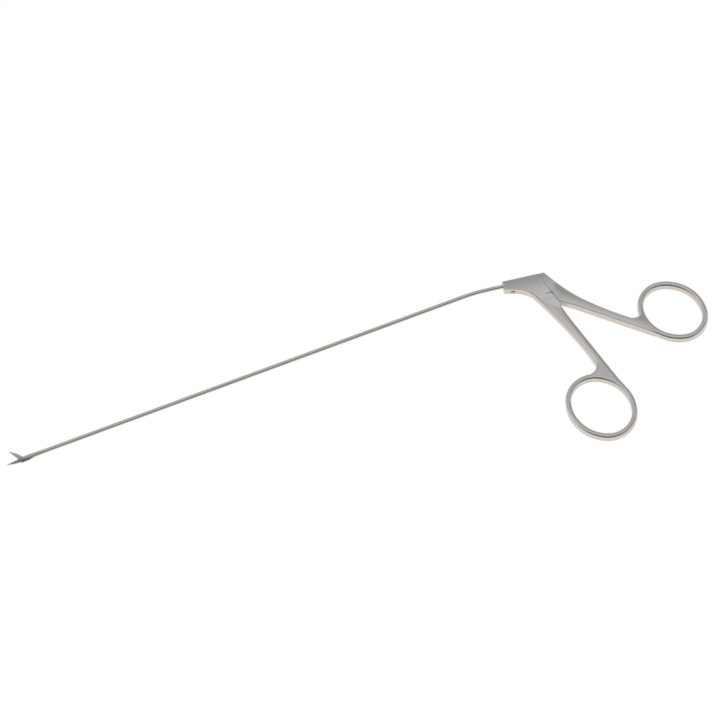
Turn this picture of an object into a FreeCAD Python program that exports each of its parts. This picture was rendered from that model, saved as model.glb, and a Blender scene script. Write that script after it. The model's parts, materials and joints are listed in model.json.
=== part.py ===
"""Micro scissors: a long thin shaft with a scissor tip, worked by two ring handles.

Frame: +X runs back along the shaft from the tip to the handles, +Y lies in the
plane of the handles and points away from the rings, +Z is up out of the flat
side. The handle pivot stands on X = 0, Y = 0 and the underside of the head is
on Z = 0. Lengths are in millimetres. The tip is open, as it is at rest.
"""
import math
import os

import FreeCAD
import Part

# Overall
THICK = 4.4
MID = THICK / 2.0

# Shaft tube, rod and the bend behind the shaft
TUBE_OD = 1.8
TUBE_ID = 1.36
SHAFT_Y = 12.05
BEND_START_X = -34.5
BEND_RADIUS = 74.0
BEND_DEG = 8.5
ROD_DIA = 0.85
ROD_LEAD = 0.6

# Head of the front handle, along and across the tube where it enters
NOSE_S = -18.1
TUBE_SEAT_S = -10.4
SLOT_WIDTH = 1.8
SLOT_START_S = -10.2
SLOT_FLOOR_N = 6.1
SLOT_TURN_S = -6.6
SLOT_BASE = (-3.9, 2.2)
HEAD_TOP_Y = 9.16
HEAD_TOP_SLOPE = -0.1406

# Handle pivot
PIVOT_SHANK_R = 0.85
PIVOT_THREAD_R = 0.70
PIVOT_HEAD_R = 1.6
PIVOT_SEAT_DEPTH = 0.25
PIVOT_HEAD_RISE = 0.66
PIVOT_EDGE_Z = THICK + 0.04
PIVOT_HAUNCH = (0.90, THICK + 0.47)
PIVOT_SLOT = 0.45
PIVOT_SLOT_DEG = -22.5
TONGUE_THICK = 1.70
TONGUE_R = 4.2
CLOSE_DEG = 7.0

# Clearances: still fits, seats, running fits, turning faces and the parting line
FIT_GAP = 0.01
SEAT_GAP = 0.05
RUN_GAP = 0.03
TURN_GAP = 0.09
PART_GAP = 0.08
TONGUE_CLEARANCE = 0.3
SWEEP_CLEARANCE = 0.19

# Link between the lever and the rod
LINK_PIN_R = 0.40
LINK_ANGLE_DEG = 10.1
EYE_R = 0.85
EYE_THICK = 0.80
LEVER_SLIT = 0.90
EYE_NECK = 1.10
EYE_NECK_LENGTH = 4.6
SOCKET_R = 0.72
SOCKET_START = 3.8
SOCKET_END = 6.6

# Rings
RING_BAR = 2.5
RING_ROUND = 1.15
RING_END = 0.6
FINGER_CENTRE = (-0.24, -60.25)
FINGER_SEMI = (14.2, 11.8)
FINGER_AXIS_DEG = -68.1
THUMB_CENTRE = (46.2, -29.2)
THUMB_SEMI = (13.55, 10.8)
THUMB_AXIS_DEG = -57.4

# Front handle: outline points round the grip, and the rounds along its rims
NOSE_LOW = 5.10
NOSE_HIGH = 8.75
NOSE_CUT = 0.30
CHIN = (-12.60, 5.78)
BLEND_START = (-8.60, 3.15)
BLEND_END = (-6.55, 0.31)
BLEND_GROWN = (-3.10, -9.80)
GRIP_TOP = (-0.66, -16.97)
GRIP_LOW = (5.09, -39.65)
WEB_CORNER = (2.20, -43.90)
WEB_END = (-4.00, -46.00)
TAIL_END = (12.38, -60.33)
RIGHT_BLEND = (13.21, -55.36)
RIGHT_LOW = (11.68, -49.30)
RIGHT_GROWN = (3.926, -15.30)
CROTCH = (2.33, -8.30)
HEAD_EDGE = 0.24
BLEND_ROUND = 0.9
GRIP_LEFT_ROUND = 2.1
GRIP_RIGHT_ROUND = 1.6
DIMPLE_DEPTH = 0.06

# Rear handle: outline points along the arm, and the rounds along its rims
APEX_LOW = (2.60, 7.40)
ARM_TOP = (13.10, -9.75)
ARM_LOW = (28.00, -25.40)
THUMB_CORNER = (32.90, -24.45)
THUMB_WEB = (36.20, -19.00)
UNDER_END = (40.78, -39.64)
UNDER_BLEND = (36.06, -37.87)
UNDER_LOW = (33.00, -34.85)
UNDER_TOP = (8.15, -11.10)
ARM_TOP_ROUND = 1.0
ARM_EDGE_ROUND = 0.35
PART_CHAMFER = 0.22

# Tube screw in the nose
TUBE_SCREW_R = 0.95
TUBE_SCREW_X = -13.1
TUBE_SCREW_RECESS = 0.45
TUBE_SCREW_POINT_R = 0.50
TUBE_SCREW_SLOT = 0.40
NOSE_FACE_N = 4.22

# Tip
JAW_X = -240.2
JAW_OD = 2.05
JAW_REAR = 9.2
JAW_FRONT = 1.25
JAW_FRONT_ROUND = 0.45
JAW_TAPER = 4.0
SPIGOT_LENGTH = 2.6
ROD_BORE_GAP = 0.06
JAW_SLOT = 1.0
JAW_SLOT_SPARE = 0.15
JAW_PIN_R = 0.32
JAW_OPEN_DEG = 61.06
BLADE_DEG = 122.4
FIXED_DEG = 181.3
BLADE_LEN = 6.62
FIXED_LEN = 6.75
FIXED_BACK = -0.20
FIXED_THICK = 0.75
BLADE_BACK = 0.27
BLADE_THICK = 0.45
LAYER_GAP = 0.02
DRIVE_PIN_R = 0.20
DRIVE_X = -0.25
ROD_FRONT = 2.6
FOOT_END = 3.80


def vec(x, y, z=0.0):
    """Return a FreeCAD vector."""
    return FreeCAD.Vector(x, y, z)


def turn(x, y, degrees):
    """Turn a flat point about the origin and return it."""
    c, s = math.cos(math.radians(degrees)), math.sin(math.radians(degrees))
    return (x * c - y * s, x * s + y * c)


def plate(steps, z_low, z_high):
    """Raise a flat outline into a plate.

    The first step is the start point. Each later one is an end point, a pair
    of a point on an arc and the arc's end point, or the word "smooth" and the
    end point of an arc that carries on the last edge's direction.
    """
    edges = []
    here = vec(*steps[0])
    heading = None
    for step in steps[1:] + [steps[0]]:
        if step[0] == "smooth":
            end = vec(*step[1])
            edge = Part.Arc(here, _smooth_middle(here, heading, end), end).toShape()
        elif isinstance(step[0], tuple):
            end = vec(*step[1])
            edge = Part.Arc(here, vec(*step[0]), end).toShape()
        else:
            end = vec(*step)
            if here.distanceToPoint(end) < 1e-6:
                continue
            edge = Part.makeLine(here, end)
        edges.append(edge)
        heading = _end_heading(edge, end)
        here = end
    face = Part.Face(Part.Wire(edges))
    solid = face.extrude(vec(0, 0, z_high - z_low))
    solid.translate(vec(0, 0, z_low))
    return solid


def _smooth_middle(start, heading, end):
    """Return the middle of the arc that leaves the start along a heading."""
    chord = end - start
    lean = math.atan2(
        heading.x * chord.y - heading.y * chord.x,
        heading.x * chord.x + heading.y * chord.y,
    )
    rise = chord.Length / 2.0 * math.tan(lean / 2.0)
    side = vec(chord.y, -chord.x) * (rise / chord.Length)
    return (start + end) * 0.5 + side


def _end_heading(edge, end):
    """Return the direction in which an edge reaches its end point."""
    first, last = edge.FirstParameter, edge.LastParameter
    if edge.valueAt(last).distanceToPoint(end) < 1e-6:
        return edge.tangentAt(last)
    return edge.tangentAt(first) * -1.0


def disc(x, y, radius, z_low, z_high):
    """Return an upright cylinder between two heights."""
    return Part.makeCylinder(radius, z_high - z_low, vec(x, y, z_low))


def capsule(start, end, radius, z_low, z_high):
    """Return a flat bar with two round ends between two flat points."""
    ax, ay = start
    bx, by = end
    size = math.hypot(bx - ax, by - ay)
    ux, uy = (bx - ax) / size * radius, (by - ay) / size * radius
    steps = [
        (ax + uy, ay - ux),
        (bx + uy, by - ux),
        ((bx + ux, by + uy), (bx - uy, by + ux)),
        (ax - uy, ay + ux),
        ((ax - ux, ay - uy), (ax + uy, ay - ux)),
    ]
    return plate(steps, z_low, z_high)


def bar(start, end, radius):
    """Return a round bar between two points."""
    line = end - start
    return Part.makeCylinder(radius, line.Length, start, line)


def oval(centre, semi, degrees, offset):
    """Return a closed oval of four arcs, moved out from the ring's hole.

    The two end arcs and the two side arcs meet smoothly, so every offset of
    the oval has the same four centres.
    """
    long, short = semi[0] + RING_BAR / 2.0, semi[1] + RING_BAR / 2.0
    end_r = short - RING_END * (long - short)
    side_r = (long * (long - 2.0 * end_r) + short * short) / (2.0 * (short - end_r))
    join = math.atan2(side_r - short, long - end_r)
    grow = offset - RING_BAR / 2.0
    ends, sides = end_r + grow, side_r + grow

    def spot(x, y):
        flat = turn(x, y, degrees)
        return vec(centre[0] + flat[0], centre[1] + flat[1])

    jx = (long - end_r) + ends * math.cos(join)
    jy = ends * math.sin(join)
    reach = long - end_r + ends
    top = short - side_r + sides
    return Part.Wire(
        [
            Part.Arc(spot(jx, -jy), spot(reach, 0), spot(jx, jy)).toShape(),
            Part.Arc(spot(jx, jy), spot(0, top), spot(-jx, jy)).toShape(),
            Part.Arc(spot(-jx, jy), spot(-reach, 0), spot(-jx, -jy)).toShape(),
            Part.Arc(spot(-jx, -jy), spot(0, -top), spot(jx, -jy)).toShape(),
        ]
    )


def ring(centre, semi, degrees):
    """Return a finger ring: a flat oval loop with its edges rounded over."""
    outer = Part.Face(oval(centre, semi, degrees, RING_BAR))
    inner = Part.Face(oval(centre, semi, degrees, 0.0))
    solid = outer.cut(inner).extrude(vec(0, 0, THICK))
    rims = [edge for edge in solid.Edges if abs(edge.BoundBox.ZLength) < 1e-4]
    return solid.makeFillet(RING_ROUND, rims)


def ring_hole(centre, semi, degrees):
    """Return the solid that clears the inside of a ring to the bar's middle."""
    face = Part.Face(oval(centre, semi, degrees, RING_BAR / 2.0))
    solid = face.extrude(vec(0, 0, THICK + 2.0))
    solid.translate(vec(0, 0, -1.0))
    return solid


# Directions of the tube where it enters the head
ALONG = vec(math.cos(math.radians(BEND_DEG)), -math.sin(math.radians(BEND_DEG)))
ACROSS = vec(math.sin(math.radians(BEND_DEG)), math.cos(math.radians(BEND_DEG)))
BEND_END = vec(
    BEND_START_X + BEND_RADIUS * math.sin(math.radians(BEND_DEG)),
    SHAFT_Y - BEND_RADIUS * (1.0 - math.cos(math.radians(BEND_DEG))),
    MID,
)
TUBE_N = BEND_END.dot(ACROSS)


def head_point(s, n, z=MID):
    """Return the point at s along and n across the tube's rear axis."""
    spot = ALONG * s + ACROSS * n
    return vec(spot.x, spot.y, z)


def head_flat(s, n):
    """Return the same point as a flat pair."""
    spot = ALONG * s + ACROSS * n
    return (spot.x, spot.y)


def top_y(x):
    """Return the height of the head's straight top edge."""
    return HEAD_TOP_Y + HEAD_TOP_SLOPE * x


def shaft_path(front_x, rear_s, shift_x):
    """Return the bent centreline of the tube or the rod."""
    start = vec(front_x, SHAFT_Y, MID)
    bend_a = vec(BEND_START_X + shift_x, SHAFT_Y, MID)
    bend_b = BEND_END + vec(shift_x, 0, 0)
    half = math.radians(BEND_DEG / 2.0)
    bend_m = bend_a + vec(
        BEND_RADIUS * math.sin(half), -BEND_RADIUS * (1.0 - math.cos(half)), 0
    )
    end = bend_b + ALONG * (rear_s - bend_b.dot(ALONG))
    edges = [
        Part.makeLine(start, bend_a),
        Part.Arc(bend_a, bend_m, bend_b).toShape(),
        Part.makeLine(bend_b, end),
    ]
    return Part.Wire(edges), end


def swept(path, radius):
    """Return a round bar swept along a path that starts along X."""
    start = path.Edges[0].Vertexes[0].Point
    circle = Part.Wire(Part.makeCircle(radius, start, vec(1, 0, 0)))
    return path.makePipeShell([circle], True, True)


LINK_Y = head_point(0, TUBE_N).y - ROD_LEAD * math.tan(math.radians(BEND_DEG))
for _ in range(6):
    LINK_X = -LINK_Y * math.tan(math.radians(LINK_ANGLE_DEG))
    rear = BEND_END.x - ROD_LEAD
    LINK_Y = BEND_END.y - math.tan(math.radians(BEND_DEG)) * (LINK_X - rear)

# How far the rod moves as the handles close, and the drive pin's depth under
# the jaw pin at which the pin keeps pace with the blade
ROD_TRAVEL = LINK_Y * (
    math.tan(math.radians(LINK_ANGLE_DEG))
    - math.tan(math.radians(LINK_ANGLE_DEG - CLOSE_DEG))
)
DRIVE_Y = -ROD_TRAVEL / math.radians(JAW_OPEN_DEG)
JAW_SLOT_END = FOOT_END + ROD_TRAVEL + JAW_SLOT_SPARE

# Parting line between the front cheeks and the rear handle, top to crotch
PART_TOP = (-0.45, top_y(-0.45))
PART_UPPER = (0.56, 1.79)
PART_END_Y = -7.35
SHOULDER = ((0.86, 0.40), (1.60, -0.95), (3.00, -6.67))


def cheek_x(y):
    """Return where the front cheeks' straight parting edge stands."""
    share = (y - PART_TOP[1]) / (PART_UPPER[1] - PART_TOP[1])
    return PART_TOP[0] + share * (PART_UPPER[0] - PART_TOP[0])


def between(first, last):
    """Return the flat point half way between two flat points."""
    return ((first[0] + last[0]) / 2.0, (first[1] + last[1]) / 2.0)


def rim_near(solid, spot, z):
    """Return the number of the level rim whose middle is nearest to a spot."""
    best = None
    for number, edge in enumerate(solid.Edges, 1):
        box = edge.BoundBox
        if box.ZLength > 1e-4 or abs(box.ZMin - z) > 1e-3:
            continue
        middle = edge.valueAt((edge.FirstParameter + edge.LastParameter) / 2.0)
        away = middle.distanceToPoint(vec(spot[0], spot[1], z))
        if best is None or away < best[0]:
            best = (away, number)
    return best[1]


def rounded(solid, rims):
    """Round the upper and the lower rim over each stretch of an outline.

    Each stretch gives its two end points, in the outline's order, and the
    radius at each of them.
    """
    laws = []
    for z in (0.0, THICK):
        for first, last, first_r, last_r in rims:
            laws.append((rim_near(solid, between(first, last), z), first_r, last_r))
    sheet = FreeCAD.newDocument("rounding")
    base = sheet.addObject("Part::Feature", "base")
    base.Shape = solid
    fillet = sheet.addObject("Part::Fillet", "fillet")
    fillet.Base = base
    fillet.Edges = laws
    sheet.recompute()
    shape = fillet.Shape.copy()
    FreeCAD.closeDocument(sheet.Name)
    return shape


def front_handle():
    """Return the front handle: forked head, grip and finger ring."""
    chin_start = head_flat(NOSE_S, NOSE_LOW)
    nose_top = head_flat(NOSE_S, NOSE_HIGH)
    nose_back = head_flat(NOSE_S + NOSE_CUT, NOSE_HIGH + 0.9 * NOSE_CUT)
    body = plate(
        [
            chin_start,
            CHIN,
            ("smooth", BLEND_START),
            ("smooth", BLEND_END),
            BLEND_GROWN,
            GRIP_TOP,
            ("smooth", GRIP_LOW),
            ("smooth", WEB_CORNER),
            ("smooth", WEB_END),
            (-2.00, -52.00),
            (6.00, -60.00),
            (9.00, -61.00),
            TAIL_END,
            ((13.34, -57.94), RIGHT_BLEND),
            ("smooth", RIGHT_LOW),
            RIGHT_GROWN,
            CROTCH,
            (cheek_x(PART_END_Y), PART_END_Y),
            PART_TOP,
            nose_back,
            nose_top,
        ],
        0.0,
        THICK,
    )
    rims = [
        (chin_start, CHIN, HEAD_EDGE, HEAD_EDGE),
        (CHIN, BLEND_START, HEAD_EDGE, HEAD_EDGE),
        (BLEND_START, BLEND_END, HEAD_EDGE, BLEND_ROUND),
        (BLEND_END, BLEND_GROWN, BLEND_ROUND, GRIP_LEFT_ROUND),
        (BLEND_GROWN, GRIP_TOP, GRIP_LEFT_ROUND, GRIP_LEFT_ROUND),
        (GRIP_TOP, GRIP_LOW, GRIP_LEFT_ROUND, GRIP_LEFT_ROUND),
        (GRIP_LOW, WEB_CORNER, GRIP_LEFT_ROUND, RING_ROUND),
        (WEB_CORNER, WEB_END, RING_ROUND, RING_ROUND),
        (TAIL_END, RIGHT_BLEND, RING_ROUND, RING_ROUND),
        (RIGHT_BLEND, RIGHT_LOW, RING_ROUND, GRIP_RIGHT_ROUND),
        (RIGHT_LOW, RIGHT_GROWN, GRIP_RIGHT_ROUND, GRIP_RIGHT_ROUND),
        (RIGHT_GROWN, CROTCH, GRIP_RIGHT_ROUND, HEAD_EDGE),
        (PART_TOP, nose_back, HEAD_EDGE, HEAD_EDGE),
        (nose_back, nose_top, HEAD_EDGE, HEAD_EDGE),
        (nose_top, chin_start, HEAD_EDGE, HEAD_EDGE),
    ]
    body = rounded(body, rims)
    body = body.cut(ring_hole(FINGER_CENTRE, FINGER_SEMI, FINGER_AXIS_DEG))
    body = body.fuse(ring(FINGER_CENTRE, FINGER_SEMI, FINGER_AXIS_DEG))
    low, high = MID - SLOT_WIDTH / 2.0, MID + SLOT_WIDTH / 2.0
    slot = plate(
        [
            head_flat(SLOT_START_S, HEAD_TOP_Y + 4.0),
            head_flat(SLOT_START_S, SLOT_FLOOR_N),
            head_flat(SLOT_TURN_S, SLOT_FLOOR_N),
            SLOT_BASE,
            (TONGUE_R, SLOT_BASE[1]),
            (TONGUE_R, HEAD_TOP_Y + 3.0),
        ],
        low,
        high,
    )
    reach = math.hypot(*SHOULDER[2]) + SWEEP_CLEARANCE
    sweep = plate(
        [
            (0.0, 0.0),
            turn(reach, 0, -90.0 - CLOSE_DEG),
            (turn(reach, 0, -76.0), turn(reach, 0, -55.0)),
        ],
        low,
        high,
    )
    slot = slot.fuse([disc(0, 0, TONGUE_R + TONGUE_CLEARANCE, low, high), sweep])
    tube_end = head_point(SLOT_START_S + 0.5, TUBE_N)
    screw_seat = THICK - PIVOT_SEAT_DEPTH
    above, below = THICK + 1.0, -1.0
    cuts = [
        slot,
        bar(head_point(NOSE_S - 1.0, TUBE_N), tube_end, TUBE_OD / 2.0),
        disc(0, 0, PIVOT_SHANK_R + FIT_GAP, 1.0, above),
        disc(0, 0, PIVOT_THREAD_R, below, 1.5),
        disc(0, 0, PIVOT_HEAD_R + SEAT_GAP, screw_seat, above),
        disc(LINK_X, LINK_Y, LINK_PIN_R + 0.06, below, MID),
        disc(LINK_X, LINK_Y, LINK_PIN_R, THICK - DIMPLE_DEPTH, above),
        bar(tube_screw_base(TUBE_N), tube_screw_base(-3.0), TUBE_SCREW_R),
    ]
    return body.cut(cuts)


def tube_screw_base(n):
    """Return the point on the tube screw's axis at n across the tube."""
    on_axis = head_point(0, TUBE_N)
    s = (TUBE_SCREW_X - on_axis.x) / ALONG.x
    spot = on_axis + ALONG * s
    return spot + ACROSS * (n - TUBE_N)


def rear_handle():
    """Return the rear handle: tongue, lever arm, grip and thumb ring."""
    part_top = (PART_TOP[0] + PART_GAP, PART_TOP[1] - 0.01)
    part_low = (cheek_x(1.0) + PART_GAP, 1.0)
    apex = (1.62, top_y(1.62))
    body = plate(
        [
            part_top,
            apex,
            ((1.88, 8.84), (2.06, 8.62)),
            APEX_LOW,
            ("smooth", ARM_TOP),
            ("smooth", ARM_LOW),
            ("smooth", THUMB_CORNER),
            ("smooth", THUMB_WEB),
            (40.00, -24.00),
            (42.50, -36.00),
            UNDER_END,
            ((38.22, -39.28), UNDER_BLEND),
            ("smooth", UNDER_LOW),
            UNDER_TOP,
            SHOULDER[2],
            SHOULDER[1],
            SHOULDER[0],
            part_low,
        ],
        0.0,
        THICK,
    )
    rims = [
        (APEX_LOW, ARM_TOP, ARM_EDGE_ROUND, ARM_TOP_ROUND),
        (ARM_TOP, ARM_LOW, ARM_TOP_ROUND, ARM_TOP_ROUND),
        (ARM_LOW, THUMB_CORNER, ARM_TOP_ROUND, RING_ROUND),
        (THUMB_CORNER, THUMB_WEB, RING_ROUND, RING_ROUND),
        (UNDER_END, UNDER_BLEND, RING_ROUND, RING_ROUND),
        (UNDER_BLEND, UNDER_LOW, RING_ROUND, ARM_EDGE_ROUND),
        (UNDER_LOW, UNDER_TOP, ARM_EDGE_ROUND, ARM_EDGE_ROUND),
        (UNDER_TOP, SHOULDER[2], ARM_EDGE_ROUND, ARM_EDGE_ROUND),
    ]
    body = rounded(body, rims)
    part_edges = []
    for z in (0.0, THICK):
        for first, last in ((part_low, part_top), (part_top, apex)):
            part_edges.append(body.Edges[rim_near(body, between(first, last), z) - 1])
    body = body.makeChamfer(PART_CHAMFER, part_edges)
    body = body.cut(ring_hole(THUMB_CENTRE, THUMB_SEMI, THUMB_AXIS_DEG))
    low, high = MID - TONGUE_THICK / 2.0, MID + TONGUE_THICK / 2.0
    tongue = plate(
        [
            (LINK_X - 1.35, LINK_Y - 1.0),
            ((LINK_X - 1.05, LINK_Y + 0.95), (LINK_X + 0.1, LINK_Y + 1.15)),
            (1.2, top_y(1.2) - 0.35),
            (5.0, 0.0),
            (6.5, -8.5),
            SHOULDER[2],
            (turn(7.31, 0, -70.0), turn(7.31, 0, -80.0)),
            turn(TONGUE_R, 0, -86.0),
            (turn(TONGUE_R, 0, -140.0), turn(TONGUE_R, 0, 160.0)),
        ],
        low,
        high,
    )
    slit_low, slit_high = MID - LEVER_SLIT / 2.0, MID + LEVER_SLIT / 2.0
    slit = plate(
        [
            (LINK_X - 4.0, LINK_Y - 1.1),
            (LINK_X + 0.3, LINK_Y - 1.1),
            ((LINK_X + 1.25, LINK_Y + 0.1), (LINK_X + 0.5, LINK_Y + 2.6)),
            (LINK_X - 4.0, LINK_Y + 2.6),
        ],
        slit_low,
        slit_high,
    )
    radius = math.hypot(LINK_X, LINK_Y)
    short = LINK_Y / math.cos(math.radians(LINK_ANGLE_DEG - CLOSE_DEG))
    pin_slot = _radial_slot(short - 0.04, radius + 0.04, LINK_PIN_R + RUN_GAP)
    screw_seat = THICK - PIVOT_SEAT_DEPTH - 0.05
    body = body.fuse([tongue, ring(THUMB_CENTRE, THUMB_SEMI, THUMB_AXIS_DEG)])
    cuts = [
        slit,
        pin_slot,
        disc(0, 0, PIVOT_SHANK_R + RUN_GAP, -1.0, THICK + 1.0),
        disc(0, 0, PIVOT_HEAD_R + TURN_GAP, screw_seat, THICK + 1.0),
    ]
    return body.cut(cuts)


def _radial_slot(inner, outer, radius):
    """Return the cutter for a round-ended slot along the lever arm."""
    degrees = 90.0 + LINK_ANGLE_DEG
    start, end = turn(inner, 0, degrees), turn(outer, 0, degrees)
    return capsule(start, end, radius, 0.5, THICK - 0.5)


def pivot_screw():
    """Return the slotted screw that joins the handles."""
    seat = THICK - PIVOT_SEAT_DEPTH
    crown = THICK + PIVOT_HEAD_RISE
    shank = disc(0, 0, PIVOT_SHANK_R, MID - TONGUE_THICK / 2.0 - 0.03, seat + 0.1)
    thread = disc(0, 0, PIVOT_THREAD_R, 0.0, 1.4)
    rim = PIVOT_HEAD_R
    profile = Part.Wire(
        [
            Part.makeLine(vec(0, 0, seat), vec(rim, 0, seat)),
            Part.makeLine(vec(rim, 0, seat), vec(rim, 0, PIVOT_EDGE_Z)),
            Part.Arc(
                vec(rim, 0, PIVOT_EDGE_Z),
                vec(PIVOT_HAUNCH[0], 0, PIVOT_HAUNCH[1]),
                vec(0, 0, crown),
            ).toShape(),
            Part.makeLine(vec(0, 0, crown), vec(0, 0, seat)),
        ]
    )
    head = Part.Face(profile).revolve(vec(0, 0, 0), vec(0, 0, 1), 360)
    slot = Part.makeBox(PIVOT_SLOT, 5.0, 1.0, vec(-PIVOT_SLOT / 2.0, -2.5, THICK + 0.02))
    slot.rotate(vec(0, 0, 0), vec(0, 0, 1), PIVOT_SLOT_DEG)
    return head.fuse([shank, thread]).cut(slot)


def link_pin():
    """Return the cross pin that couples the rod to the lever arm."""
    half = TONGUE_THICK / 2.0
    return disc(LINK_X, LINK_Y, LINK_PIN_R, MID - half, MID + half)


def rod_eye():
    """Return the flat eye on the rear end of the rod."""
    half = EYE_THICK / 2.0
    low, high = MID - half, MID + half
    centre = vec(LINK_X, LINK_Y, MID)
    eye = disc(LINK_X, LINK_Y, EYE_R, low, high)
    neck_a = centre + ACROSS * (EYE_NECK / 2.0)
    neck_b = centre - ACROSS * (EYE_NECK / 2.0)
    back = ALONG * -EYE_NECK_LENGTH
    web = plate(
        [
            (neck_a.x, neck_a.y),
            (neck_b.x, neck_b.y),
            ((neck_b + back).x, (neck_b + back).y),
            ((neck_a + back).x, (neck_a + back).y),
        ],
        low,
        high,
    )
    socket_end = centre - ALONG * SOCKET_END
    socket = bar(socket_end, centre - ALONG * SOCKET_START, SOCKET_R)
    bore = bar(socket_end - ALONG * 0.5, centre - ALONG * EYE_NECK_LENGTH, ROD_DIA / 2.0)
    eye = eye.fuse([web, socket]).cut(bore)
    return eye.cut(disc(LINK_X, LINK_Y, LINK_PIN_R, 0.0, THICK))


def shaft_tube():
    """Return the bent tube between the head and the jaw housing."""
    outer_path, _ = shaft_path(JAW_X + JAW_REAR, TUBE_SEAT_S, 0.0)
    inner_path, _ = shaft_path(JAW_X + JAW_REAR - 1.0, TUBE_SEAT_S + 1.0, 0.0)
    outer = swept(outer_path, TUBE_OD / 2.0)
    return outer.cut(swept(inner_path, TUBE_ID / 2.0))


def pull_rod():
    """Return the rod inside the tube."""
    eye_s = vec(LINK_X, LINK_Y, MID).dot(ALONG) - EYE_NECK_LENGTH
    path, _ = shaft_path(JAW_X + ROD_FRONT, eye_s, -ROD_LEAD)
    start = jaw_point(ROD_FRONT - 0.5, -1.0, MID - LAYER_GAP - 1.0)
    flat = Part.makeBox(FOOT_END - ROD_FRONT + 0.5, 2.0, 1.0, start)
    return swept(path, ROD_DIA / 2.0).cut(flat)


def tube_screw():
    """Return the slotted headless screw that holds the tube in the nose."""
    top_n = TUBE_N - TUBE_OD / 2.0
    low_n = NOSE_FACE_N + TUBE_SCREW_RECESS
    body = bar(tube_screw_base(low_n), tube_screw_base(top_n - 0.25), TUBE_SCREW_R)
    point = bar(tube_screw_base(top_n - 0.3), tube_screw_base(top_n), TUBE_SCREW_POINT_R)
    slot = Part.makeBox(TUBE_SCREW_SLOT, 0.60, 4.0, vec(-TUBE_SCREW_SLOT / 2.0, -0.10, -2.0))
    slot.rotate(vec(0, 0, 0), vec(0, 0, 1), -BEND_DEG)
    slot.translate(tube_screw_base(low_n))
    return body.fuse(point).cut(slot)


def jaw_point(x, y, z=MID):
    """Return a point given from the jaw pivot."""
    return vec(JAW_X + x, SHAFT_Y + y, z)


def jaw_flats(steps):
    """Move outline steps given from the jaw pivot to their place."""
    placed = []
    for step in steps:
        if isinstance(step[0], tuple):
            placed.append(tuple((JAW_X + x, SHAFT_Y + y) for x, y in step))
        else:
            placed.append((JAW_X + step[0], SHAFT_Y + step[1]))
    return placed


def leaf(length, back_sign, z_low, z_high, degrees, extra=0.0):
    """Return one blade leaf, straight on its cutting edge, convex behind."""
    k = back_sign
    steps = [
        (0.35, (0.96 + extra) * k),
        ((2.70, (0.86 + 0.8 * extra) * k), (4.70, (0.40 + 0.5 * extra) * k)),
        ((5.75, (0.14 + 0.3 * extra) * k), (length, (0.2 * extra - 0.04) * k)),
        (length - 0.12, -0.12 * k),
        (1.15, -0.68 * k),
        (0.55, -0.62 * k),
    ]
    turned = []
    for step in steps:
        if isinstance(step[0], tuple):
            turned.append(tuple(turn(x, y, degrees) for x, y in step))
        else:
            turned.append(turn(step[0], step[1], degrees))
    return plate(jaw_flats(turned), z_low, z_high)


def wedge_over(length, degrees, root_z, tip_z, outward):
    """Return the solid outside a blade's sloping outer face."""
    far = 6.0 * outward
    profile = Part.Wire(
        Part.makePolygon(
            [
                vec(0.9, -4, MID + root_z),
                vec(length + 1.0, -4, MID + tip_z),
                vec(length + 1.0, -4, MID + far),
                vec(0.9, -4, MID + far),
                vec(0.9, -4, MID + root_z),
            ]
        )
    )
    solid = Part.Face(profile).extrude(vec(0, 8, 0))
    solid.rotate(vec(0, 0, 0), vec(0, 0, 1), degrees)
    solid.translate(vec(JAW_X, SHAFT_Y, 0))
    return solid


def edge_bevel(length, degrees, back_sign, face_z, outward):
    """Return the cutter that grinds the bevel along a cutting edge."""
    k = back_sign
    depth = 0.30 * outward
    profile = Part.Wire(
        Part.makePolygon(
            [
                vec(0, -0.62 * k, MID + face_z + depth),
                vec(0, 0.02 * k, MID + face_z + 3.0 * depth),
                vec(0, -3.0 * k, MID + face_z + 3.0 * depth),
                vec(0, -3.0 * k, MID + face_z - 0.2 * depth),
                vec(0, -0.72 * k, MID + face_z - 0.2 * depth),
                vec(0, -0.62 * k, MID + face_z + depth),
            ]
        )
    )
    solid = Part.Face(profile).extrude(vec(length + 2.0, 0, 0))
    solid.translate(vec(1.3, 0, 0))
    lean = math.degrees(math.atan2(0.56 * k, length - 1.2))
    solid.rotate(vec(1.15, -0.68 * k, 0), vec(0, 0, 1), lean)
    solid.rotate(vec(0, 0, 0), vec(0, 0, 1), degrees)
    solid.translate(vec(JAW_X, SHAFT_Y, 0))
    return solid


def cam_path(t):
    """Return the drive pin's centre in the blade at a share of its travel."""
    return turn(DRIVE_X + ROD_TRAVEL * t, DRIVE_Y, -JAW_OPEN_DEG * t)


def band(half_width, z_low, z_high):
    """Return the solid that follows the cam path at a half width."""
    spots = [cam_path(i / 4.0) for i in range(5)]
    spots = [(JAW_X + x, SHAFT_Y + y) for x, y in spots]
    runs = []
    for start, end in zip(spots, spots[1:]):
        runs.append(capsule(start, end, half_width, z_low, z_high))
    return runs[0].fuse(runs[1:])


def moving_blade():
    """Return the moving blade with its heel and drive slot."""
    low = MID + LAYER_GAP
    high = low + BLADE_THICK
    hub = disc(JAW_X, SHAFT_Y, 0.92, low, high)
    blade = leaf(BLADE_LEN, -1, low, high, BLADE_DEG, BLADE_BACK)
    heel = plate(
        jaw_flats(
            [
                (-0.86, -0.20),
                (-0.80, -1.00),
                ((-0.62, -1.37), (-0.26, -1.36)),
                ((0.28, -1.05), (0.80, -0.40)),
            ]
        ),
        low,
        high,
    )
    body = hub.fuse([blade, heel])
    cuts = [
        disc(JAW_X, SHAFT_Y, JAW_PIN_R + RUN_GAP, 0, THICK),
        band(DRIVE_PIN_R + RUN_GAP, low - 0.5, high + 0.5),
        wedge_over(BLADE_LEN, BLADE_DEG, BLADE_THICK + 0.1, 0.14, 1),
        edge_bevel(BLADE_LEN, BLADE_DEG, -1, LAYER_GAP, 1),
    ]
    return body.cut(cuts)


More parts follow.
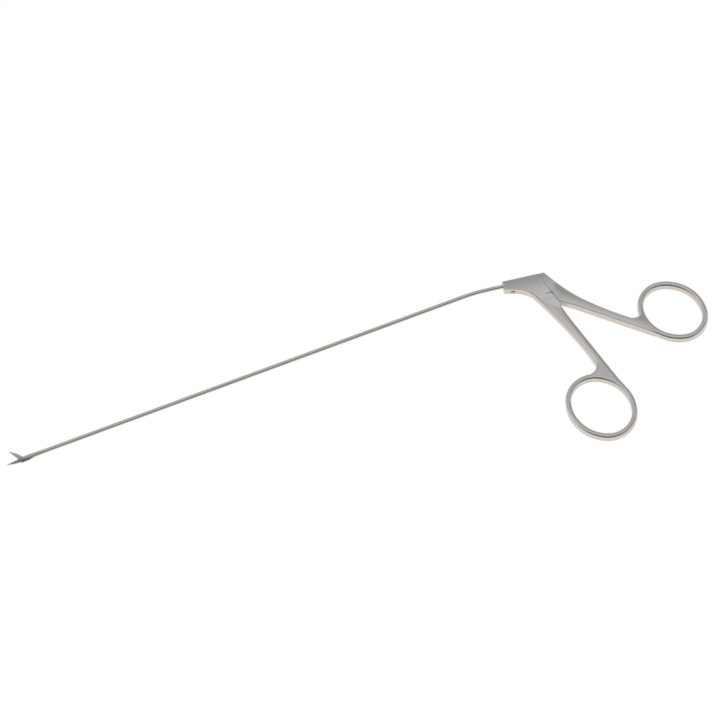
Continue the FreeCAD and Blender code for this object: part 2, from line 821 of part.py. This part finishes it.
def jaw_housing():
    """Return the jaw housing with the fixed blade in one piece."""
    radius = JAW_OD / 2.0
    rear = jaw_point(JAW_REAR, 0)
    front = jaw_point(-JAW_FRONT, 0)
    shoulder = rear - vec(JAW_TAPER, 0, 0)
    body = bar(front, shoulder, radius)
    rims = [edge for edge in body.Edges if edge.BoundBox.XMax < front.x + 0.01]
    body = body.makeFillet(JAW_FRONT_ROUND, rims)
    taper = Part.makeCone(radius, TUBE_OD / 2.0, JAW_TAPER, shoulder, vec(1, 0, 0))
    spigot_end = rear + vec(SPIGOT_LENGTH, 0, 0)
    spigot = bar(rear - vec(0.2, 0, 0), spigot_end, TUBE_ID / 2.0 - FIT_GAP)
    body = body.fuse([taper, spigot])
    half = JAW_SLOT / 2.0
    low, high = MID - half, MID + half
    lower = [(-3.0, -3.0), (JAW_SLOT_END, -3.0), (JAW_SLOT_END, 0.62), (-3.0, 0.62)]
    upper = [(-3.0, -0.5), (1.6, -0.5), (1.0, 3.0), (-3.0, 3.0)]
    lower_slot = plate(jaw_flats(lower), low, high)
    upper_slot = plate(jaw_flats(upper), low, high)
    body = body.cut([lower_slot, upper_slot])
    bore_end = spigot_end + vec(1.0, 0, 0)
    body = body.cut(bar(jaw_point(0.5, 0), bore_end, ROD_DIA / 2.0 + ROD_BORE_GAP))
    blade = leaf(FIXED_LEN, 1, MID - FIXED_THICK, MID, FIXED_DEG, FIXED_BACK)
    blade = blade.cut(
        [
            wedge_over(FIXED_LEN, FIXED_DEG, -FIXED_THICK, -0.16, -1),
            edge_bevel(FIXED_LEN, FIXED_DEG, 1, 0.0, -1),
        ]
    )
    pocket = plate(
        jaw_flats([(-0.90, -2.0), (0.5, -2.0), (0.5, 0.4), (-0.60, -0.35)]),
        low,
        MID + 0.1,
    )
    body = body.fuse(blade.cut(pocket))
    return body.cut(disc(JAW_X, SHAFT_Y, JAW_PIN_R, 0, THICK))


def jaw_pin():
    """Return the riveted pin that the moving blade turns on."""
    half = JAW_OD / 2.0 - 0.005
    return disc(JAW_X, SHAFT_Y, JAW_PIN_R, MID - half, MID + half)


def rod_foot():
    """Return the flat foot on the front of the rod, reaching to the heel."""
    high = MID - LAYER_GAP
    foot = plate(
        jaw_flats(
            [
                (-0.63, -0.90),
                ((-0.50, -0.62), (-0.20, -0.50)),
                (0.50, -0.48),
                (1.05, 0.28),
                (FOOT_END, 0.28),
                (FOOT_END, -1.36),
                (0.45, -1.44),
                ((-0.36, -1.37), (-0.63, -0.90)),
            ]
        ),
        high - BLADE_THICK,
        high,
    )
    return foot.cut(disc(JAW_X + DRIVE_X, SHAFT_Y + DRIVE_Y, DRIVE_PIN_R, 0, THICK))


def drive_pin():
    """Return the pin on the foot that works in the blade's slot."""
    reach = LAYER_GAP + BLADE_THICK
    x, y = JAW_X + DRIVE_X, SHAFT_Y + DRIVE_Y
    return disc(x, y, DRIVE_PIN_R, MID - reach, MID + reach)


PARTS = {
    "front_handle": front_handle,
    "rear_handle": rear_handle,
    "pivot_screw": pivot_screw,
    "link_pin": link_pin,
    "rod_eye": rod_eye,
    "pull_rod": pull_rod,
    "shaft_tube": shaft_tube,
    "tube_screw": tube_screw,
    "jaw_housing": jaw_housing,
    "jaw_pin": jaw_pin,
    "moving_blade": moving_blade,
    "rod_foot": rod_foot,
    "drive_pin": drive_pin,
}


def main():
    """Build every part and write one file for each."""
    os.makedirs("parts", exist_ok=True)
    for name, make in PARTS.items():
        shape = make()
        print(name, shape.isValid(), len(shape.Solids), round(shape.Volume, 2), shape.BoundBox)
        shape.exportStep("parts/%s.step" % name)


if __name__ == "__main__":
    main()
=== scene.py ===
"""Micro scissors in satin stainless steel, dressed and lit on a white table.

The frame gives every metal piece its shape and place. This script gives each one
the finish of the real instrument and sets the table, the light and the camera.
Lengths are in metres in the frame's own axes: +X back along the shaft, +Y away
from the rings, +Z up out of the flat side.
"""

import json
import logging
import math
from dataclasses import dataclass, field
from enum import Enum

import bpy
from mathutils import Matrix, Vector

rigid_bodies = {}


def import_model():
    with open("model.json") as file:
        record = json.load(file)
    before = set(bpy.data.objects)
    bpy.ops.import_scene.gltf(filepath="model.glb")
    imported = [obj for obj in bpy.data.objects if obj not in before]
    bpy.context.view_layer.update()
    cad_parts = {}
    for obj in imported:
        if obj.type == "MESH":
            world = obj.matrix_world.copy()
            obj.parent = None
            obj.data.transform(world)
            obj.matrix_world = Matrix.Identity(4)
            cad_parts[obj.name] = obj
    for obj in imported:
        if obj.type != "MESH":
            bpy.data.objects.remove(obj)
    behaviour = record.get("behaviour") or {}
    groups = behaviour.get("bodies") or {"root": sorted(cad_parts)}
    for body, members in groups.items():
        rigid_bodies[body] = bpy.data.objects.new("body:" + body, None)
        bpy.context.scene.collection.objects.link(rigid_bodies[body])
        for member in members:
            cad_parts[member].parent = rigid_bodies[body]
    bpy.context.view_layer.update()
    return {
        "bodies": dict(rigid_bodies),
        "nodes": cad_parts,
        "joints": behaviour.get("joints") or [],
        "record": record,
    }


LOG = logging.getLogger("micro_scissors")

MM = 0.001

# How softly a crowned flat ends, along the member and across it
CROWN_END_FADE_MM = 5.0
CROWN_SIDE_FADE_MM = 1.5

# Span that a noise pattern mostly keeps to
NOISE_LOW = 0.25
NOISE_HIGH = 0.75


def linear(hex_colour: str) -> tuple[float, float, float, float]:
    """Turn an sRGB hex colour into linear red, green, blue and alpha.

    Args:
        hex_colour: six hex digits, such as "c8c8c6".

    Returns:
        The linear colour with an alpha of 1.
    """
    channels = []
    for place in (0, 2, 4):
        value = int(hex_colour[place:place + 2], 16) / 255.0
        low = value / 12.92
        high = ((value + 0.055) / 1.055) ** 2.4
        channels.append(low if value <= 0.04045 else high)
    return (channels[0], channels[1], channels[2], 1.0)


def add_node(
    tree: bpy.types.NodeTree,
    kind: str,
    settings: dict[str, object] | None = None,
    inputs: dict[str | int, object] | None = None,
) -> bpy.types.Node:
    """Add one node with its settings, input values and links.

    Args:
        tree: the node tree that gets the node.
        kind: the node's type name.
        settings: attributes to set on the node.
        inputs: input name or number to a plain value, or to an output socket to link.

    Returns:
        The new node.
    """
    node = tree.nodes.new(kind)
    for name, value in (settings or {}).items():
        setattr(node, name, value)
    for name, value in (inputs or {}).items():
        if isinstance(value, bpy.types.NodeSocket):
            tree.links.new(value, node.inputs[name])
        else:
            node.inputs[name].default_value = value
    return node


@dataclass(frozen=True)
class Crown:
    """Slight crowning that hand polishing leaves across one flat member.

    The middle line of the member runs through one point at a heading, in
    millimetres and degrees of the frame's plane.
    """

    name: str
    middle: tuple[float, float]
    heading: float
    half_length: float
    half_width: float
    tilt_per_mm: float

    def along(self) -> Vector:
        """Return the unit vector along the member."""
        turn = math.radians(self.heading)
        return Vector((math.cos(turn), math.sin(turn), 0.0))

    def across(self) -> Vector:
        """Return the unit vector across the member, to the left of its heading."""
        turn = math.radians(self.heading)
        return Vector((-math.sin(turn), math.cos(turn), 0.0))

    def lean(self, tree: bpy.types.NodeTree, place: bpy.types.NodeSocket) -> bpy.types.NodeSocket:
        """Work out how the surface leans at a place.

        Args:
            tree: the material's node tree.
            place: the place in the frame's axes.

        Returns:
            The sideways vector to add to the surface normal.
        """
        middle = Vector((self.middle[0], self.middle[1], 0.0)) * MM
        offset = add_node(
            tree, "ShaderNodeVectorMath", {"operation": "SUBTRACT"}, {0: place, 1: middle}
        ).outputs["Vector"]
        side = self.measure(tree, offset, self.across())
        run = self.measure(tree, offset, self.along())
        share = self.fade(tree, run, self.half_length, CROWN_END_FADE_MM)
        share = add_node(
            tree, "ShaderNodeMath", {"operation": "MULTIPLY"},
            {0: share, 1: self.fade(tree, side, self.half_width, CROWN_SIDE_FADE_MM)},
        ).outputs["Value"]
        slope = add_node(
            tree, "ShaderNodeMath", {"operation": "MULTIPLY"}, {0: side, 1: self.tilt_per_mm}
        ).outputs["Value"]
        amount = add_node(
            tree, "ShaderNodeMath", {"operation": "MULTIPLY"}, {0: slope, 1: share}
        ).outputs["Value"]
        return add_node(
            tree, "ShaderNodeVectorMath", {"operation": "SCALE"},
            {0: self.across(), "Scale": amount},
        ).outputs["Vector"]

    @staticmethod
    def measure(
        tree: bpy.types.NodeTree, offset: bpy.types.NodeSocket, way: Vector
    ) -> bpy.types.NodeSocket:
        """Measure how far an offset reaches along a direction.

        Args:
            tree: the material's node tree.
            offset: the offset from the member's middle.
            way: the unit vector to measure along.

        Returns:
            The distance in millimetres.
        """
        return add_node(
            tree, "ShaderNodeVectorMath", {"operation": "DOT_PRODUCT"}, {0: offset, 1: way / MM}
        ).outputs["Value"]

    @staticmethod
    def fade(
        tree: bpy.types.NodeTree, distance: bpy.types.NodeSocket, full: float, soft: float
    ) -> bpy.types.NodeSocket:
        """Fade the crowning out past a distance from the member's middle.

        Args:
            tree: the material's node tree.
            distance: the signed distance in millimetres.
            full: the distance up to which the crowning is full.
            soft: the length over which it fades.

        Returns:
            The share of the crowning, from 1 down to 0.
        """
        away = add_node(
            tree, "ShaderNodeMath", {"operation": "ABSOLUTE"}, {0: distance}
        ).outputs["Value"]
        return add_node(
            tree, "ShaderNodeMapRange", {"interpolation_type": "SMOOTHSTEP"},
            {"Value": away, "From Min": full + soft, "From Max": full},
        ).outputs["Result"]


@dataclass(frozen=True)
class SteelFinish:
    """Stainless steel that was ground or blasted and then lightly polished.

    A satin grain of about 0.05 mm is too fine to show in the render, so it is
    drawn coarser. The width of the polish's clouds is given.
    """

    name: str
    colour: str
    shade: str
    roughness: float
    grain_mm: float
    grain_depth_mm: float
    stretch: tuple[float, float, float] = (1.0, 1.0, 1.0)
    cloud_mm: float = 9.0
    shinier: float = 0.05
    duller: float = 0.06
    crowns: tuple[Crown, ...] = ()
    ground: tuple[str, float, float] | None = None

    def material(self) -> bpy.types.Material:
        """Build the steel with its cloudy polish and its fine grain.

        Returns:
            The node material.
        """
        made = bpy.data.materials.new(self.name)
        made.use_nodes = True
        tree = made.node_tree
        tree.nodes.clear()
        place = add_node(tree, "ShaderNodeTexCoord").outputs["Object"]
        clouds = add_node(
            tree, "ShaderNodeTexNoise", {},
            {"Vector": place, "Scale": 1.0 / (self.cloud_mm * MM), "Detail": 3.0, "Roughness": 0.55},
        ).outputs["Fac"]
        tint = add_node(
            tree, "ShaderNodeMix", {"data_type": "RGBA"},
            {0: clouds, 6: linear(self.shade), 7: linear(self.colour)},
        ).outputs[2]
        if self.ground:
            tint = self.ground_end(tree, place, tint)
        drawn = add_node(
            tree, "ShaderNodeMapping", {"vector_type": "POINT"},
            {"Vector": place, "Scale": self.stretch},
        ).outputs["Vector"]
        grain = add_node(
            tree, "ShaderNodeTexNoise", {},
            {"Vector": drawn, "Scale": 1.0 / (self.grain_mm * MM), "Detail": 4.0, "Roughness": 0.6},
        ).outputs["Fac"]
        rough = add_node(
            tree, "ShaderNodeMapRange", {},
            {"Value": grain, "From Min": NOISE_LOW, "From Max": NOISE_HIGH,
             "To Min": self.roughness - self.shinier, "To Max": self.roughness + self.duller},
        ).outputs["Result"]
        lean = add_node(tree, "ShaderNodeNewGeometry").outputs["Normal"]
        for crown in self.crowns:
            LOG.info("%s is crowned on the %s", self.name, crown.name)
            lean = add_node(
                tree, "ShaderNodeVectorMath", {"operation": "ADD"},
                {0: lean, 1: crown.lean(tree, place)},
            ).outputs["Vector"]
        crowned = add_node(
            tree, "ShaderNodeVectorMath", {"operation": "NORMALIZE"}, {0: lean}
        ).outputs["Vector"]
        bump = add_node(
            tree, "ShaderNodeBump", {},
            {"Height": grain, "Strength": 1.0, "Distance": self.grain_depth_mm * MM,
             "Normal": crowned},
        ).outputs["Normal"]
        steel = add_node(
            tree, "ShaderNodeBsdfPrincipled", {},
            {"Base Color": tint, "Metallic": 1.0, "Roughness": rough, "Normal": bump},
        ).outputs["BSDF"]
        add_node(tree, "ShaderNodeOutputMaterial", {}, {"Surface": steel})
        return made

    def ground_end(
        self,
        tree: bpy.types.NodeTree,
        place: bpy.types.NodeSocket,
        tint: bpy.types.NodeSocket,
    ) -> bpy.types.NodeSocket:
        """Darken the ground end of a piece, which lies at the low end of X.

        Args:
            tree: the material's node tree.
            place: the place in the frame's axes.
            tint: the colour of the rest of the piece.

        Returns:
            The colour with the ground end.
        """
        shade, start, end = self.ground
        x = add_node(tree, "ShaderNodeSeparateXYZ", {}, {"Vector": place}).outputs["X"]
        share = add_node(
            tree, "ShaderNodeMapRange", {"interpolation_type": "SMOOTHSTEP"},
            {"Value": x, "From Min": start * MM, "From Max": end * MM},
        ).outputs["Result"]
        return add_node(
            tree, "ShaderNodeMix", {"data_type": "RGBA"},
            {0: share, 6: tint, 7: linear(shade)},
        ).outputs[2]


# Belt polishing crowns the flat faces, so they pick up the ceiling on one side
# and the darker back wall on the other
HANDLE_CROWNS = (
    Crown("head", (-7.0, 4.6), -8.0, 9.0, 6.0, 0.017),
    Crown("grip", (3.4, -24.0), -77.5, 20.0, 4.0, 0.008),
    Crown("arm", (17.5, -17.2), -43.0, 20.0, 4.2, 0.034),
)


class Steel(Enum):
    """The instrument's steels, one for each way that they were worked."""

    # Forged and satin-finished handles: soft grey with a barely seen grain
    HANDLE = SteelFinish(
        "forged_stainless_satin", "e6e5e4", "dddcdb", 0.17, 0.35, 0.0002, crowns=HANDLE_CROWNS
    )

    # Drawn tube: brighter streaks along its length
    TUBE = SteelFinish(
        "drawn_stainless_tube", "e6e4df", "dbd9d5", 0.14, 0.30, 0.0005, stretch=(0.06, 1.0, 1.0)
    )

    # Machined jaw housing: duller than the tube, with the fixed blade ground darker
    HOUSING = SteelFinish(
        "jaw_housing_stainless", "dedcd9", "d2d1ce", 0.36, 0.25, 0.0003,
        ground=("b2b2b1", -238.0, -240.6),
    )

    # Ground blade and rod foot: a matt grey face
    BLADE = SteelFinish("ground_stainless_blade", "dadad8", "cececc", 0.32, 0.20, 0.0004)

    # Drawn rod and the pins inside: plain wire steel
    ROD = SteelFinish("drawn_stainless_rod", "cfceca", "c4c3c0", 0.28, 0.25, 0.0008)

    # Polished screws: the brightest metal on the piece
    SCREW = SteelFinish("polished_stainless_screw", "f6f6f4", "efefed", 0.12, 0.40, 0.0004)


@dataclass
class Assembly:
    """A group of the frame's own nodes that shares one finish."""

    nodes: tuple[str, ...]
    steel: Steel

    def dress(self, frame: dict) -> None:
        """Give each node of the group the finish.
        """
        worn = self.steel.value.material()
        for name in self.nodes:
            mesh = frame["nodes"][name].data
            mesh.materials.clear()
            mesh.materials.append(worn)
            LOG.info("%s wears %s", name, worn.name)


@dataclass
class Table:
    """White table top that the instrument lies on."""

    half_width: float = 4.0
    sink: float = 0.05 * MM
    glow: float = 1.02
    seen_glow: float = 0.95
    mirrored_glow: float = 0.50
    matt: str = "f4f4f4"
    seen: str = "ffffff"
    mirrored: str = "fff4ea"

    def build(self) -> None:
        """Lay the table top."""
        size = self.half_width
        mesh = bpy.data.meshes.new("table_top")
        corners = [(-size, -size, 0), (size, -size, 0), (size, size, 0), (-size, size, 0)]
        mesh.from_pydata(corners, [], [(0, 1, 2, 3)])
        top = bpy.data.objects.new("table_top", mesh)
        top.location.z = -self.sink
        bpy.context.scene.collection.objects.link(top)
        mesh.materials.append(self.surface())
        LOG.info("table top laid")

    def surface(self) -> bpy.types.Material:
        """Build the white surface: plain white to the camera, a warmer white in the steel.

        Returns:
            The node material.
        """
        made = bpy.data.materials.new("white_table")
        made.use_nodes = True
        tree = made.node_tree
        tree.nodes.clear()
        rays = add_node(tree, "ShaderNodeLightPath")
        matt = add_node(
            tree, "ShaderNodeBsdfDiffuse", {}, {"Color": linear(self.matt)}
        ).outputs["BSDF"]
        tone = add_node(
            tree, "ShaderNodeMix", {"data_type": "RGBA"},
            {0: rays.outputs["Is Camera Ray"], 6: linear(self.mirrored), 7: linear(self.seen)},
        ).outputs[2]
        glow = add_node(
            tree, "ShaderNodeEmission", {}, {"Color": tone, "Strength": self.glow}
        ).outputs["Emission"]
        direct = add_node(
            tree, "ShaderNodeMath", {"operation": "MULTIPLY"},
            {0: rays.outputs["Is Camera Ray"], 1: self.seen_glow},
        ).outputs["Value"]
        share = add_node(
            tree, "ShaderNodeMath", {"operation": "MULTIPLY_ADD"},
            {0: rays.outputs["Is Glossy Ray"], 1: self.mirrored_glow, 2: direct},
        ).outputs["Value"]
        mixed = add_node(
            tree, "ShaderNodeMixShader", {}, {0: share, 1: matt, 2: glow}
        ).outputs["Shader"]
        add_node(tree, "ShaderNodeOutputMaterial", {}, {"Surface": mixed})
        return made


@dataclass(frozen=True)
class Patch:
    """One soft-edged patch of the studio walls, seen from the instrument.

    The azimuth turns from the rings' side (-Y) toward the handles' end (+X).
    """

    name: str
    azimuth: float
    elevation: float
    full: float
    gone: float
    colour: str

    def way(self) -> Vector:
        """Return the unit vector toward the middle of the patch."""
        turn, lift = math.radians(self.azimuth), math.radians(self.elevation)
        flat = math.cos(lift)
        return Vector((math.sin(turn) * flat, -math.cos(turn) * flat, math.sin(lift)))


# A pale room: a lit wall behind the tip, a window at each side for the small
# highlights, and a dark doorway at the rings' side for the streaks in the rounds
ROOM_TONE = "a2a2a2"
PATCHES = (
    Patch("lit_wall", -106.0, -14.0, 10.0, 62.0, "dbd6d2"),
    Patch("wall_top", -136.0, 46.0, 8.0, 44.0, "c0bfbe"),
    Patch("back_wall", 168.0, 8.0, 14.0, 38.0, "c1c1c1"),
    Patch("ceiling", 168.0, 82.0, 8.0, 28.0, "d4d4d4"),
    Patch("right_wall", 60.0, -20.0, 15.0, 50.0, "cbcbcd"),
    Patch("window_left", -112.0, 44.0, 5.0, 12.0, "ffffff"),
    Patch("window_right", 98.0, 42.0, 4.0, 10.0, "ffffff"),
    Patch("doorway_left", -50.0, 18.0, 9.0, 25.0, "555555"),
    Patch("doorway_right", 5.0, 12.0, 12.0, 27.0, "373737"),
    Patch("doorway", -22.0, 15.0, 15.0, 30.0, "1c1c1c"),
)


@dataclass
class Studio:
    """Soft studio light: an even pale room with a few patches and one lamp."""

    lamp_watts: float = 21.0
    lamp_size: float = 0.7
    lamp_colour: str = "fff6ec"
    lamp_place: tuple[float, float, float] = (-0.5, -1.32, 1.55)
    lamp_aim: tuple[float, float, float] = (-0.09, 0.0, 0.0)

    def build(self) -> None:
        """Set up the room light and the soft lamp."""
        self.room()
        self.lamp()
        bpy.context.scene.view_settings.view_transform = "Standard"

    def room(self) -> None:
        """Light the world with the even room and its patches."""
        world = bpy.data.worlds.new("studio_room")
        bpy.context.scene.world = world
        world.use_nodes = True
        tree = world.node_tree
        tree.nodes.clear()
        way = add_node(tree, "ShaderNodeTexCoord").outputs["Generated"]
        tone = add_node(tree, "ShaderNodeRGB").outputs["Color"]
        tone.default_value = linear(ROOM_TONE)
        for patch in PATCHES:
            LOG.info("patch %s hung", patch.name)
            tone = self.hang(tree, way, tone, patch)
        rays = add_node(tree, "ShaderNodeLightPath")
        shown = add_node(
            tree, "ShaderNodeMix", {"data_type": "RGBA"},
            {0: rays.outputs["Is Camera Ray"], 6: tone, 7: linear("ffffff")},
        ).outputs[2]
        light = add_node(
            tree, "ShaderNodeBackground", {}, {"Color": shown, "Strength": 1.0}
        ).outputs["Background"]
        add_node(tree, "ShaderNodeOutputWorld", {}, {"Surface": light})
        LOG.info("room light set")

    def hang(
        self,
        tree: bpy.types.NodeTree,
        way: bpy.types.NodeSocket,
        tone: bpy.types.NodeSocket,
        patch: Patch,
    ) -> bpy.types.NodeSocket:
        """Lay one patch over the room's tone.

        Args:
            tree: the world's node tree.
            way: the direction that is looked in.
            tone: the colour under the patch.
            patch: the patch to lay over it.

        Returns:
            The colour with the patch.
        """
        along = add_node(
            tree, "ShaderNodeVectorMath", {"operation": "DOT_PRODUCT"},
            {0: way, 1: patch.way()},
        ).outputs["Value"]
        share = add_node(
            tree, "ShaderNodeMapRange", {"interpolation_type": "SMOOTHSTEP"},
            {"Value": along, "From Min": math.cos(math.radians(patch.gone)),
             "From Max": math.cos(math.radians(patch.full))},
        ).outputs["Result"]
        return add_node(
            tree, "ShaderNodeMix", {"data_type": "RGBA"},
            {0: share, 6: tone, 7: linear(patch.colour)},
        ).outputs[2]

    def lamp(self) -> None:
        """Hang a soft lamp over the table on the rings' side.

        The steel doesn't mirror the lamp itself, only the table that it lights,
        with the pieces' own shadows on it.
        """
        data = bpy.data.lights.new("soft_lamp", "AREA")
        data.shape = "DISK"
        data.size = self.lamp_size
        data.energy = self.lamp_watts
        data.color = linear(self.lamp_colour)[:3]
        lamp = bpy.data.objects.new("soft_lamp", data)
        lamp.location = self.lamp_place
        aim = Vector(self.lamp_aim) - lamp.location
        lamp.rotation_mode = "QUATERNION"
        lamp.rotation_quaternion = aim.to_track_quat("-Z", "Y")
        lamp.visible_glossy = False
        bpy.context.scene.collection.objects.link(lamp)
        LOG.info("soft lamp hung")


@dataclass
class Camera:
    """Long lens that looks down on the instrument from the rings' side."""

    azimuth: float = -22.53
    elevation: float = 62.5
    distance: float = 8.0
    sensor_mm: float = 36.0
    seen_width: float = 310.1 * MM
    aim: Vector = field(default_factory=lambda: Vector((-87.35, 0.84, 2.2)) * MM)

    def build(self) -> None:
        """Place the camera and give it the picture's width."""
        turn, lift = math.radians(self.azimuth), math.radians(self.elevation)
        back = Vector(
            (math.sin(turn) * math.cos(lift), -math.cos(turn) * math.cos(lift), math.sin(lift))
        )
        data = bpy.data.cameras.new("camera")
        data.sensor_width = self.sensor_mm
        data.lens = self.sensor_mm * self.distance / self.seen_width
        data.clip_start, data.clip_end = 0.05, 20.0
        camera = bpy.data.objects.new("camera", data)
        camera.location = self.aim + back * self.distance
        camera.rotation_mode = "QUATERNION"
        camera.rotation_quaternion = (-back).to_track_quat("-Z", "Y")
        bpy.context.scene.collection.objects.link(camera)
        bpy.context.scene.camera = camera
        LOG.info("camera set")


def main() -> None:
    """Dress the instrument, then set the table, the light and the camera."""
    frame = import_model()
    assemblies = [
        Assembly(("front_handle", "rear_handle"), Steel.HANDLE),
        Assembly(("shaft_tube",), Steel.TUBE),
        Assembly(("jaw_housing", "jaw_pin"), Steel.HOUSING),
        Assembly(("moving_blade", "rod_foot"), Steel.BLADE),
        Assembly(("pull_rod", "rod_eye", "drive_pin", "link_pin"), Steel.ROD),
        Assembly(("pivot_screw", "tube_screw"), Steel.SCREW),
    ]
    for assembly in assemblies:
        assembly.dress(frame)
    Table().build()
    Studio().build()
    Camera().build()


if __name__ == "__main__":
    logging.basicConfig(level=logging.INFO, format="%(message)s")
    main()
